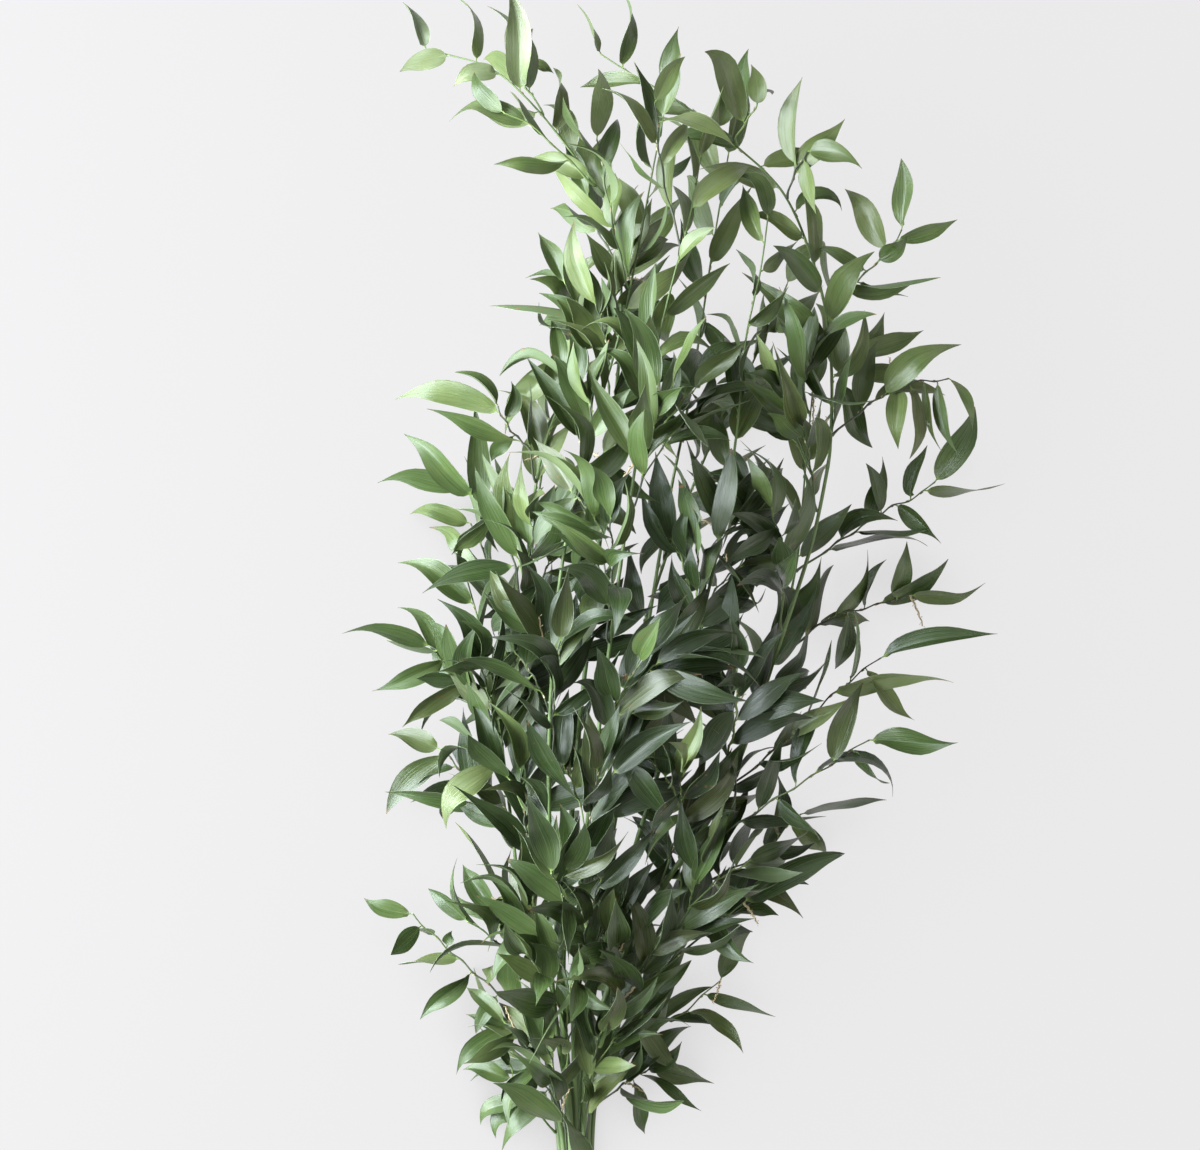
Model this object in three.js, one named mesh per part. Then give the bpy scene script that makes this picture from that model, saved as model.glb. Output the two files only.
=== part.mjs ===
// A gathered bunch of leafy ruscus stems (poet's laurel), picked and laid down on a flat surface.
// Millimetres. +X runs across the bunch, +Y along it from the cut ends to the tips, and +Z is up.
// Each stem is one body with the leaves of its own top. Each side shoot is one body with its leaves, and
// starts a hair's breadth off the stem that bears it. No leaf or twig crosses another.
import * as THREE from "three";

// Driving dimensions
const square = 7; // side of the squares of the plan. Places below are [across, along, height] in squares
const stemRadius = 2.5; // where the bunch is gathered
const stemTipRadius = 0.9;
const stemPitch = 5.35; // from stem to stem in the gathered bundle
const cutLength = 118; // of bare stem below the plan's first line
const gatherEnd = -20; // how far up the stems stay side by side
const twigRadius = 1.3; // where a side shoot leaves its stem
const forkRadius = 1; // where a twig forks off a side shoot
const twigTipRadius = 0.7;
const joint = 0.35; // gap between a side shoot and its stem
const leafLength = 60; // of a full-grown leaf; those by the tips are shorter
const leafWidth = 18; // of a leaf of that length
const keelDepth = 1.1; // thickness of the leaf solid along its middle
const hangingShare = 0.08; // of the leaves, which point back to the cut ends
const leafSpacing = 20; // along the top of a stem
const bareSpacing = 52; // between the rings of a stem where it has no leaves
const firstLeafAt = 24; // along a side shoot, from its stem
const elbowAt = 5; // along a side shoot, where it has turned off its stem
const zigzag = 0.8; // of a twig's nodes, to alternate sides
const innerReach = 12; // how far up the plan an inner shoot runs, in squares
const forks = [ // node of the side shoot, reach along it, side
  { node: 3, reach: 66, side: 1 },
  { node: 6, reach: 52, side: -1 },
  { node: 2, reach: 56, side: -1 },
];
const forkLeaves = 6;
const lowestTwig = 5; // height of a twig's middle over the surface, at least
const clearance = 0.8; // kept free on both faces of a leaf
const footRise = 0.03; // of a leaf's foot, when it is tried against its own twig
const twigClearance = 0.6; // kept free round a twig
const coverCell = 2.5; // side of the cells in which the leaves' cover of the plan is kept
const leafChoices = 6; // clear ways for a leaf to lie, of which the one that closes most gaps is kept
const besideCost = 1.2; // of a cell closed beside the thick of the bunch, against 1 gained in it

const up = new THREE.Vector3(0, 0, 1);
const cutwards = new THREE.Vector3(0, -1, 0); // the way the leaf tips hang
const leafGreen = new THREE.MeshStandardMaterial({ color: 0x4f7436, roughness: 0.38, metalness: 0 });

// Main stems. slot is the place in the gathered bundle, in stem pitches across and rows up. path is the
// way up the bunch. aims are plan places of leaf tips from the last leaf back, some with the leaf's width
// in millimetres; 0 leaves a leaf free.
const stems = [
  {
    name: "a", slot: [-1.5, 1], leaves: 12,
    path: [[-3.4, 11, 3.5], [-4.6, 27, 6], [-5.1, 43, 8], [-4.8, 59, 9.5], [-3.2, 70, 10.5],
      [-0.3, 77.5, 11], [2.5, 83, 11], [6.5, 89.5, 10]],
    aims: [],
  },
  {
    name: "b", slot: [-0.5, 3], leaves: 12,
    path: [[-2.3, 15, 7], [-2.6, 30, 11.5], [-2.4, 45, 15], [-1.2, 59, 17], [1.5, 71, 17.5], [4.6, 82, 17],
      [6.5, 91, 16.5], [7.8, 98, 15.5], [8.8, 103, 15]],
    aims: [[10.1, 109.5], [6, 108.7]],
  },
  {
    name: "c", slot: [-0.5, 1], leaves: 15,
    path: [[-1.3, 15, 4.2], [-0.6, 30, 7.5], [0.7, 45, 11], [2.3, 59, 13], [3.8, 73, 14], [4.6, 83, 14],
      [3.7, 93.5, 14], [-1, 100.5, 14], [-4.5, 104.8, 13], [-8.5, 108.3, 11.5], [-15, 110.4, 9.5]],
    aims: [[-17.6, 115.4], [-17.7, 108.2], [-11.3, 116.2], [-12.2, 106.8], [-7.3, 116.3], [-8.9, 103.2],
      [-1.4, 108.9]],
  },
  {
    name: "d", slot: [0, 2], leaves: 12,
    path: [[-0.1, 17, 7.5], [1.3, 33, 13], [3.4, 50, 17.5], [5.5, 65, 20], [7.5, 77, 20], [9.3, 85, 19],
      [11.5, 93.5, 17.5], [12.5, 99, 16]],
    aims: [[15, 106], [9.5, 104]],
  },
  {
    name: "e", slot: [0.5, 1], leaves: 12,
    path: [[1.5, 17, 3.2], [4.1, 33, 4.6], [7, 50, 5.2], [9.5, 65, 5.4], [11.5, 75, 5.4], [12.8, 83, 5.4],
      [14, 91, 5.6], [15.5, 100, 6]],
    aims: [[17.4, 107.8], [12, 105]],
  },
  {
    name: "f", slot: [1, 2], leaves: 12,
    path: [[2, 16, 6], [6.3, 31, 10], [10.5, 45, 13.5], [14, 59, 15.5], [16, 71, 16.5], [17, 81, 16.5],
      [18.5, 88, 16], [19.2, 93, 15.5]],
    aims: [[16.3, 98]],
  },
  {
    name: "g", slot: [1.5, 1], leaves: 18,
    path: [[3.2, 15, 4], [8.2, 25, 7], [13, 32, 9], [17, 41, 10.5], [20.6, 51, 11.5], [23.8, 61, 12],
      [25.5, 70, 12], [25.4, 82, 12], [23.5, 89.8, 12.5], [20.6, 96, 13], [15.6, 100.8, 13],
      [10.5, 104.8, 12.5], [5.8, 107.6, 12], [2.6, 109.7, 11.5]],
    aims: [[0.7, 114.6], [5.8, 115.8], 0, [10.1, 112.6], [5.2, 102.6], [16.2, 109.4], 0, [24.8, 99.8], 0,
      [27.2, 94.6]],
  },
  {
    name: "h", slot: [2, 0], leaves: 12,
    path: [[3.3, 11, 1.2], [8, 20, 2], [13, 30, 2.8], [17.3, 40, 3.6], [20.5, 50, 4.5], [22.5, 59, 5.2],
      [23.3, 68, 6], [24, 76, 7]],
    aims: [],
  },
  {
    name: "i", slot: [-2, 0], leaves: 9,
    path: [[-3.4, 10, 1.3], [-5.2, 21, 3], [-6.8, 35, 5.5], [-8.2, 46, 7.5], [-9.8, 53, 8.5],
      [-10.9, 57, 8.5]],
    aims: [[-12.4, 60.4], [-17.4, 59.6]],
  },
  {
    name: "j", slot: [1, 0], leaves: 7,
    path: [[2.3, 8, 1.5], [6, 14.5, 4], [10.5, 19, 6], [13.8, 21.8, 7.3], [17, 24.4, 7.8]],
    aims: [[27.3, 29], [23, 27.6], [18, 21.6]],
  },
  {
    name: "k", slot: [0, 0], leaves: 14,
    path: [[0.3, 16, 0.9], [2.8, 34, 1.4], [7.2, 53, 2], [13, 69, 2.8], [18, 79, 3.6], [21.5, 87, 4.6]],
    aims: [],
  },
  {
    name: "l", slot: [-1, 0], leaves: 13,
    path: [[-1.6, 16, 0.9], [-2.8, 33, 1.4], [-4.2, 48, 2.2], [-4.4, 60, 3.2], [-3, 70, 4.2],
      [-1.2, 78, 5.2]],
    aims: [],
  },
];

// Side shoots that give the bunch its outline. along is the plan line where they leave their stem.
const outlineShoots = [
  {
    stem: "i", along: 0.6, route: [[-5.1, 4.1, 2.5], [-6.3, 6.1, 2.6], [-6.8, 8.2, 3]], leaves: 6,
    aims: [[-13.2, 9.9], [-9.9, 11.5], [-11.4, 7.1], [-3.2, 6.4], [-10.8, 2.3], [-9.3, 1.2]],
  },
  {
    stem: "i", along: 11.4, leaves: 9,
    route: [[-7.3, 14.4, 3], [-9.5, 16.3, 3.2], [-12.4, 18.9, 3.6], [-16.6, 23, 4.6]],
    aims: [[-21.6, 24.2], [-18.7, 19], [-17.6, 21.4], [-12.8, 21.2], [-17.8, 17.6], 0, [-8.9, 17.3],
      [-10.1, 10.8]],
  },
  {
    stem: "i", along: 18, route: [[-8, 20.4, 6], [-10.8, 22.5, 7]], leaves: 4,
    aims: [[-15, 25.7], [-13.2, 28.3]],
  },
  {
    stem: "i", along: 30, route: [[-9.3, 34.4, 6], [-11.6, 37.6, 5.6], [-13.6, 39.9, 5.6]], leaves: 8,
    aims: [[-19, 41.3], [-19.6, 33.4], [-16, 36.2], [-13.7, 31.8], [-16.6, 33.8]],
  },
  {
    stem: "i", along: 41.5, route: [[-9.6, 45.6, 8.4], [-11.8, 47.9, 8.2], [-14.6, 50.4, 8]], leaves: 8,
    aims: [[-23.6, 51.9], [-19.6, 51], [-20.1, 45.1], [-14.9, 53], [-16, 47.2], [-12.6, 45]],
  },
  {
    stem: "l", along: 47, route: [[-8, 56, 2.4], [-10.6, 62.8, 2.6]], leaves: 6,
    aims: [[-17, 64.6], [-12.6, 68]],
  },
  {
    stem: "a", along: 55, route: [[-6.5, 60.3, 10.4], [-8.2, 63, 10.2], [-11.1, 66.2, 10]], leaves: 8,
    aims: [[-19.5, 68.3], [-16.6, 72], [-9.9, 74.8], [-12.6, 59.4]],
  },
  {
    stem: "a", along: 67, route: [[-4.7, 70.2, 12], [-6.2, 71.7, 12.2], [-7.8, 74.3, 12.4]], leaves: 7,
    aims: [[-11.7, 78], [-18.2, 75.3], [-5.7, 76.6], [-9.9, 71.4], [-8.8, 69.1]],
  },
  {
    stem: "a", along: 76, route: [[-1.2, 81, 9], [-0.4, 85.5, 8.5]], leaves: 5,
    aims: [[-4, 88.7], [3, 90.5]],
  },
  {
    stem: "c", along: 103.5, route: [[-5, 106.6, 11.5], [-5.5, 109.6, 11]], leaves: 6,
    aims: [[-5.8, 112.9], [-4, 112.6], [-1.9, 108.2]],
  },
  {
    stem: "c", along: 96.5, route: [[-3.4, 101.4, 16.5], [-6.9, 103.4, 17.2]], leaves: 4,
    aims: [[-10.8, 107]],
  },
  { stem: "c", along: 88, route: [[2.2, 92.5, 10.5], [1.2, 97, 9.5]], leaves: 5, aims: [] },
  { stem: "b", along: 86, route: [[3.6, 93, 18.5], [2.3, 100.5, 19.5]], leaves: 6, aims: [[3, 107.8]] },
  { stem: "d", along: 90, route: [[8.6, 97.5, 20], [8, 104, 20.5]], leaves: 6, aims: [[10.5, 109]] },
  {
    stem: "g", along: 100.4, route: [[17.6, 103.4, 15], [18.4, 105, 15.5]], leaves: 4,
    aims: [[19.9, 105.6], [17.5, 107.9], [15.9, 110.4]],
  },
  {
    stem: "g", along: 95.2, route: [[22.2, 98.2, 14.5], [23.2, 99.6, 15]], leaves: 4,
    aims: [[28.5, 98.5], [24, 93.4]],
  },
  {
    stem: "g", along: 81.5, route: [[26.2, 85.3, 12.4], [28.8, 87.4, 12.2], [32.1, 91, 12], [32.8, 92, 12]],
    leaves: 8, aims: [[32.7, 99.2], [38.2, 92.9], [27.6, 96.7], [33.4, 90.6], [24.5, 90.6], [33.3, 85.2]],
  },
  {
    stem: "g", along: 74.5, route: [[27, 77.6, 8], [28.6, 80, 6.6]], leaves: 5,
    aims: [[31.6, 84.1], [35.3, 82.1], [34.7, 77.6]],
  },
  {
    stem: "g", along: 71.6, route: [[31.2, 75.7, 11.6], [34, 76.8, 11.2], [37.5, 77.1, 11]], leaves: 8,
    aims: [[40.2, 72.5, 9], [38.5, 69.5, 12], [36, 69.8, 7], [34.3, 69.2, 14], [32, 70.4]],
  },
  {
    stem: "h", along: 58, leaves: 9,
    route: [[29.8, 62.9, 5.2], [31.9, 64.3, 5], [34.9, 65.6, 5], [36.4, 67, 5.2]],
    aims: [[41.1, 74], [44, 66.3], [36.6, 70], [36.8, 60.9], [30, 69]],
  },
  {
    stem: "h", along: 49, leaves: 8,
    route: [[25.9, 53.1, 3.8], [29, 54, 3.4], [30.9, 54.5, 3.2], [34.1, 55.3, 3.4]],
    aims: [[41.4, 54.6], [34, 60.4], [38.2, 58.6], [31.3, 59.2], [27.4, 47.6]],
  },
  {
    stem: "g", along: 36.4, route: [[22.5, 42, 10], [25, 44.6, 9.6], [30.7, 49.2, 9]], leaves: 9,
    aims: [[42.4, 51.8], [34.2, 42.8], [28.2, 54.2], [38, 46.8], [23, 50]],
  },
  {
    stem: "g", along: 29.8, route: [[20.5, 35.3, 11.4], [24, 37.4, 11], [29.5, 41, 10.4]], leaves: 9,
    aims: [[38.3, 40], [30.9, 35.6], [28.5, 46.6], [33.1, 36.4], [23.8, 44.5], [25, 31.5], [20.6, 41.6]],
  },
  {
    stem: "h", along: 25.5, route: [[18.6, 29, 3], [22.9, 33.2, 3]], leaves: 7,
    aims: [[31.6, 35.2], [26.2, 29], [20.4, 37.4]],
  },
  {
    stem: "j", along: 9.8, route: [[10.8, 12.8, 3], [14.7, 16.2, 2.8]], leaves: 5,
    aims: [[18, 21.2], [20.2, 12.2]],
  },
  {
    stem: "h", along: 3.4, route: [[5, 5.6, 2.2], [7.8, 7.3, 2.6]], leaves: 6,
    aims: [[14.2, 5.6], [10.8, 9.6], [12.4, 2.6], [7.1, 0]],
  },
];

// Side shoots inside the bunch, each given by the place of its tip. They fork at a third of their length.
const innerTips = [
  [-3, 10.5, 8], [2.5, 11.5, 10.5], [8, 20, 10], [-4.5, 25, 11], [2.5, 27, 14.5], [12.5, 28.5, 12.5],
  [-5.5, 38, 12.5], [2.5, 39, 18.5], [10.5, 38, 17.5], [-9.5, 49, 13.5], [-1.5, 51, 19], [7, 50, 22],
  [16, 48, 17], [-4, 63, 15.5], [3.5, 63, 22], [12, 61, 21], [19.5, 64, 17], [1, 75, 20], [9.5, 76, 23.5],
  [20.5, 76, 17.5], [0.5, 19.5, 13.5], [2, 85, 17.5],
];

// The thick of the bunch, where its leaves close up: how far up the plan, its left side and its right side.
const thickSpans = [
  [4, -5, 4], [11, -5.5, 7], [17, -8, 11.5], [23, -7.5, 16], [29, -7.5, 16], [35, -11, 18], [41, -10, 21],
  [53, -11.5, 24], [58, -11.5, 25],
];

const random = seeded(20260);

// Numbers from 0 to 1, the same ones each time.
function seeded(seed) {
  let state = seed;
  return () => {
    state = (state + 0x6d2b79f5) | 0;
    let t = Math.imul(state ^ (state >>> 15), 1 | state);
    t = (t + Math.imul(t ^ (t >>> 7), 61 | t)) ^ t;
    return ((t ^ (t >>> 14)) >>> 0) / 4294967296;
  };
}

const between = (low, high) => low + (high - low) * random();
const planPoint = ([x, y, z]) => new THREE.Vector3(x, y, z).multiplyScalar(square);
const onward = (from, direction, distance) => from.clone().addScaledVector(direction, distance);
const squareTo = (vector, axis) => vector.clone().addScaledVector(axis, -vector.dot(axis)).normalize();
const sumOf = (points) => points.reduce((sum, p) => sum.add(p), new THREE.Vector3());
const centreOf = (points) => sumOf(points).divideScalar(points.length);

// Points run clockwise round each ring, seen along the rod or leaf, and faces are triples of points.

// The faces between rings. A ring of one point is a tip.
function skin(rings, split = facet) {
  const faces = [];
  for (let i = 0; i + 1 < rings.length; i++) {
    for (let k = 0; k < rings[i].length; k++) faces.push(...split(rings[i], rings[i + 1], k));
  }
  return faces;
}

// The one or two faces between points k and k + 1 of a ring and the next ring.
function facet(near, far, k) {
  const [a, b] = [near[k], near[(k + 1) % near.length]];
  const [c, d] = [far[k % far.length], far[(k + 1) % far.length]];
  return c === d ? [[a, b, d]] : [[a, b, d], [a, d, c]];
}

// The same, split along whichever diagonal bulges outwards, so that a twisted blade stays as thick.
function bulgingFacet(near, far, k) {
  const faces = facet(near, far, k);
  if (faces.length === 1) return faces;
  const [[a, b, d], [, , c]] = faces;
  const normal = new THREE.Triangle(a, b, d).getNormal(new THREE.Vector3());
  return c.clone().sub(a).dot(normal) < 0 ? faces : [[a, b, c], [b, d, c]];
}

// A flat end of three or six points, its middle face first.
function endFaces(ring) {
  const [a, b, c, d, e, f] = ring;
  return ring.length === 3 ? [[a, b, c]] : [[a, c, e], [a, b, c], [c, d, e], [e, f, a]];
}

const turned = (faces) => faces.map(([a, b, c]) => [a, c, b]);
const closed = (rings, split = facet) => [...turned(endFaces(rings[0])), ...skin(rings, split)];
const bladeShape = (rings) => shapeOf(closed(rings, bulgingFacet));

// The directions along a chain of points.
function flowOf(centres) {
  return centres.map((_, i) => {
    const before = centres[Math.max(0, i - 1)];
    const after = centres[Math.min(centres.length - 1, i + 1)];
    return after.clone().sub(before).normalize();
  });
}

// The rings of a round rod through centre points, square to flow.
function rodRings(centres, radii, sides, flow) {
  let across = squareTo(up, flow[0]);
  return centres.map((centre, i) => {
    across = squareTo(across, flow[i]);
    const other = new THREE.Vector3().crossVectors(flow[i], across);
    return Array.from({ length: sides }, (_, k) => {
      const angle = (2 * Math.PI * (k + 0.5)) / sides;
      const spoke = across.clone().multiplyScalar(Math.cos(angle)).addScaledVector(other, Math.sin(angle));
      return onward(centre, spoke, radii[i]);
    });
  });
}

// Shapes that have been placed, so that nothing new is put through one of them.
const placed = [];

function shapeOf(faces, rod, part) {
  const points = [...new Set(faces.flat())];
  const edges = new Map();
  for (const [a, b, c] of faces) {
    for (const edge of [[a, b], [b, c], [c, a]]) {
      edges.set(edge.map((point) => points.indexOf(point)).sort((p, q) => p - q).join(), edge);
    }
  }
  return { faces, edges: [...edges.values()], box: new THREE.Box3().setFromPoints(points), rod, part };
}

const ray = new THREE.Ray();
const hit = new THREE.Vector3();
const stride = new THREE.Vector3();

function edgeCrosses([start, end], [a, b, c]) {
  const length = stride.subVectors(end, start).length();
  ray.set(start, stride.normalize());
  return ray.intersectTriangle(a, b, c, false, hit) !== null && hit.distanceTo(start) < length;
}

function crosses(one, other) {
  if (!one.box.intersectsBox(other.box)) return false;
  const cuts = (p, q) => p.edges.some((edge) => q.faces.some((face) => edgeCrosses(edge, face)));
  return cuts(one, other) || cuts(other, one);
}

// Whether a shape crosses nothing placed before, apart from what it ignores.
function isClear(shape, ignores = () => false) {
  return !placed.some((old) => !ignores(old) && crosses(shape, old));
}

// Each stretch of a rod as a shape of its own, which keeps the boxes small.
function stretchesOf(rings, rod) {
  return rings.slice(1).map((ring, i) => shapeOf([...closed([rings[i], ring]), ...endFaces(ring)], rod, i));
}

// A place for a leaf or twig to grow out of a rod just past ring n: a small triangle in the free facet
// that faces a direction best. At the last ring it is the middle of the rod's end.
function socketOn(rod, n, direction) {
  if (n === rod.rings.length - 1) return { key: "end", points: endFaces(rod.rings[n])[0] };
  const [near, far] = [rod.rings[n], rod.rings[n + 1]];
  const length = rod.centres[n].distanceTo(rod.centres[n + 1]);
  const choices = near.map((_, k) => {
    const face = facet(near, far, k)[0];
    const facing = new THREE.Triangle(...face).getNormal(new THREE.Vector3()).dot(direction);
    return { key: n + " " + k, face, facing };
  });
  const free = choices.filter(({ key, facing }) => facing > 0.25 && !rod.sockets.has(key));
  if (!free.length) return null;
  const { key, face: [a, b, d] } = free.sort((p, q) => q.facing - p.facing)[0];
  const inFace = (distance, aside) => {
    const base = b.clone().lerp(a, 0.5 + aside);
    return base.lerp(d, distance / length);
  };
  return { key, points: [inFace(1, 0.28), inFace(1, -0.28), inFace(2.8, 0)] };
}

// A socket's points in the order that meets the next ring with the least twist.
function untwisted(points, ring) {
  const [here, there] = [centreOf(points), centreOf(ring)];
  const match = (start) => {
    const order = points.map((_, k) => points[(k + start) % 3]);
    const fit = order.reduce((sum, p, k) => sum + p.clone().sub(here).dot(ring[k].clone().sub(there)), 0);
    return { order, fit };
  };
  return [0, 1, 2].map(match).sort((p, q) => q.fit - p.fit)[0].order;
}

// The faces of a rod. Each socket leaves a hole, which what grows there closes.
function rodFaces({ rings, sockets, isFork }) {
  const faces = isFork ? [] : turned(endFaces(rings[0]));
  for (let i = 0; i + 1 < rings.length; i++) {
    for (let k = 0; k < rings[i].length; k++) {
      const [first, second] = facet(rings[i], rings[i + 1], k);
      const hole = sockets.get(i + " " + k);
      faces.push(second, ...(hole ? skin([first, hole]) : [first]));
    }
  }
  return [...faces, ...endFaces(rings[rings.length - 1]).slice(sockets.has("end") ? 1 : 0)];
}

// One leaf as a keeled blade: two rings of three points and a tip. bend turns the blade towards the cut
// ends, and tilt turns its face from straight up. extra makes it thicker.
function bladeRings({ foot, heading, length, width, tilt, bend }, extra = 0) {
  const second = onward(heading, cutwards, bend * 0.7).normalize();
  const third = onward(second, cutwards, bend).normalize();
  const middle = onward(foot, heading, 0.32 * length);
  const shoulder = onward(middle, second, 0.35 * length);
  const tip = onward(shoulder, third, 0.33 * length + extra);
  const ring = (centre, direction, share, turn) => {
    const normal = squareTo(up, direction).applyAxisAngle(direction, tilt + turn);
    const side = new THREE.Vector3().crossVectors(direction, normal);
    const half = (width * share) / 2 + extra;
    const face = onward(centre, normal, extra);
    const keel = onward(centre, normal, -keelDepth * share - extra);
    return [onward(face, side, -half), onward(face, side, half), keel];
  };
  const rings = [ring(middle, heading, 1, 0), ring(shoulder, second, 0.7, 0.25), [tip]];
  for (const points of rings) {
    const lowest = Math.min(...points.map((point) => point.z)) + extra;
    if (lowest < 0) points.forEach((point) => (point.z -= lowest));
  }
  return rings;
}

// Turns and stretches a leaf so that its tip comes to a place.
function aimAt(leaf, place) {
  const wanted = place.clone().sub(leaf.foot);
  leaf.heading = wanted.clone().normalize();
  leaf.length = wanted.length();
  const got = bladeRings(leaf)[2][0].sub(leaf.foot);
  const turn = new THREE.Quaternion().setFromUnitVectors(got.clone().normalize(), leaf.heading);
  leaf.heading.applyQuaternion(turn);
  leaf.length *= wanted.length() / got.length();
}

// A direction that a leaf takes by itself, to its own side of the twig.
function freeHeading(flow, side, share, wildness) {
  const roll = between(-1.2, 1.2) * (1 + wildness);
  const degrees = between(12, 46) * (1 - 0.3 * share) + wildness * between(-8, 28);
  const spread = THREE.MathUtils.degToRad(degrees);
  const sideways = new THREE.Vector3().crossVectors(flow, up).normalize().applyAxisAngle(flow, roll);
  const heading = flow.clone().multiplyScalar(Math.cos(spread));
  heading.addScaledVector(sideways, side * Math.sin(spread));
  const hang = random() < hangingShare ? between(0.7, 1.5) : between(-0.1, 0.12);
  return heading.addScaledVector(cutwards, hang).normalize();
}

// The cells of the plan below a leaf.
function cellsBelow(foot, [[a, b], [c, d], [tip]]) {
  const cells = new Set();
  for (const [p, q, r] of [[foot, a, b], [a, b, d], [a, d, c], [c, d, tip]]) {
    const steps = Math.ceil(Math.max(p.distanceTo(q), q.distanceTo(r), r.distanceTo(p)) / coverCell);
    for (let i = 0; i <= steps; i++) {
      for (let j = 0; i + j <= steps; j++) {
        const x = p.x + ((q.x - p.x) * i + (r.x - p.x) * j) / steps;
        const y = p.y + ((q.y - p.y) * i + (r.y - p.y) * j) / steps;
        cells.add(Math.floor(x / coverCell) + " " + Math.floor(y / coverCell));
      }
    }
  }
  return [...cells];
}

// Whether a place on the plan, in millimetres, is in the thick of the bunch.
function isInThick(x, y) {
  const i = thickSpans.findIndex(([along], k) => along * square <= y && thickSpans[k + 1]?.[0] * square > y);
  if (i < 0) return false;
  const [[below, ...sides], [above, ...next]] = [thickSpans[i], thickSpans[i + 1]];
  const part = (y / square - below) / (above - below);
  const [left, right] = sides.map((side, k) => THREE.MathUtils.lerp(side, next[k], part) * square);
  return x > left && x < right;
}

// How many open cells of the thick a leaf would close, less the cost of those that it would close beside it.
const covered = new Set();
function gainOf(cells) {
  const open = cells.filter((cell) => !covered.has(cell));
  const middles = open.map((cell) => cell.split(" ").map((count) => (Number(count) + 0.5) * coverCell));
  return middles.reduce((sum, [x, y]) => sum + (isInThick(x, y) ? 1 : -besideCost), 0);
}

// Sets a leaf at node n of a rod in the best of the ways that are clear of everything placed before.
function setLeaf(rod, n, side, share, aim) {
  const attempts = aim ? 60 : 40;
  const offers = [];
  const { x, y } = rod.centres[n];
  const wanted = aim || rod.isOutline || !isInThick(x, y) ? 1 : leafChoices;
  for (let attempt = 0; attempt < attempts && offers.length < wanted; attempt++) {
    const wildness = attempt / attempts;
    const rise = between(-2.2, 2.2) * (1 + wildness);
    const place = aim ? planPoint([aim[0], aim[1], rod.centres[n].z / square + rise]) : null;
    if (place) place.x += wildness * between(-7, 7);
    const towards = place?.clone().sub(rod.centres[n]).normalize();
    const heading = towards ?? freeHeading(rod.flow[n], side, share, wildness);
    const socket = socketOn(rod, n, heading);
    const length = leafLength * between(0.75, 1.28) * (1 - 0.28 * share) * (wildness > 0.6 ? 0.8 : 1);
    const tilt = between(-1, 1) * (place ? 0.95 + wildness * 0.5 : 1.4);
    const leaf = { heading, length, tilt, bend: between(0, 0.6) * between(0, 1) };
    if (!socket) continue;
    leaf.foot = centreOf(socket.points);
    leaf.width = leafWidth * between(0.82, 1.16);
    if (place) aimAt(leaf, place);
    leaf.width *= Math.pow(leaf.length / leafLength, 0.4);
    leaf.width = aim?.[2] ?? leaf.width;
    const blade = bladeRings(leaf);
    const foot = untwisted(socket.points, blade[0]);
    const outward = new THREE.Triangle(...foot).getNormal(new THREE.Vector3());
    const raised = foot.map((point) => onward(point, outward, footRise));
    const isOwnStretch = (old) => old.rod === rod && old.part === Math.min(n, rod.rings.length - 2);
    const whole = bladeShape([foot, ...blade]);
    if (!isClear(whole, isOwnStretch)) continue;
    if (!isClear(bladeShape([raised, ...blade]), (old) => !isOwnStretch(old))) continue;
    if (!isClear(bladeShape(bladeRings(leaf, clearance)))) continue;
    const cells = cellsBelow(leaf.foot, blade);
    offers.push({ whole, socket, rings: [foot, ...blade], cells, gain: gainOf(cells) });
  }
  if (!offers.length) return [];
  const best = offers.reduce((kept, offer) => (offer.gain > kept.gain ? offer : kept));
  const { whole, socket, rings, cells } = best;
  cells.forEach((cell) => covered.add(cell));
  placed.push(whole);
  rod.sockets.set(socket.key, socket.points);
  return skin(rings, bulgingFacet);
}

// The alternate leaves of a rod: its last rings each bear one.
function leavesOf(rod) {
  const { leaves, aims, firstSide, centres } = rod;
  return Array.from({ length: leaves }, (_, n) => {
    const side = firstSide * (n % 2 ? -1 : 1) * (n === leaves - 1 ? 0.25 : 1);
    return setLeaf(rod, centres.length - leaves + n, side, n / leaves, aims[leaves - 1 - n]);
  }).flat();
}

function meshOf(faces, name) {
  const points = [...new Set(faces.flat())];
  const place = new Map(points.map((point, i) => [point, i]));
  const geometry = new THREE.BufferGeometry().setFromPoints(points);
  geometry.setIndex(faces.flat().map((point) => place.get(point)));
  const mesh = new THREE.Mesh(geometry, leafGreen.clone());
  mesh.name = name;
  return mesh;
}

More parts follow.
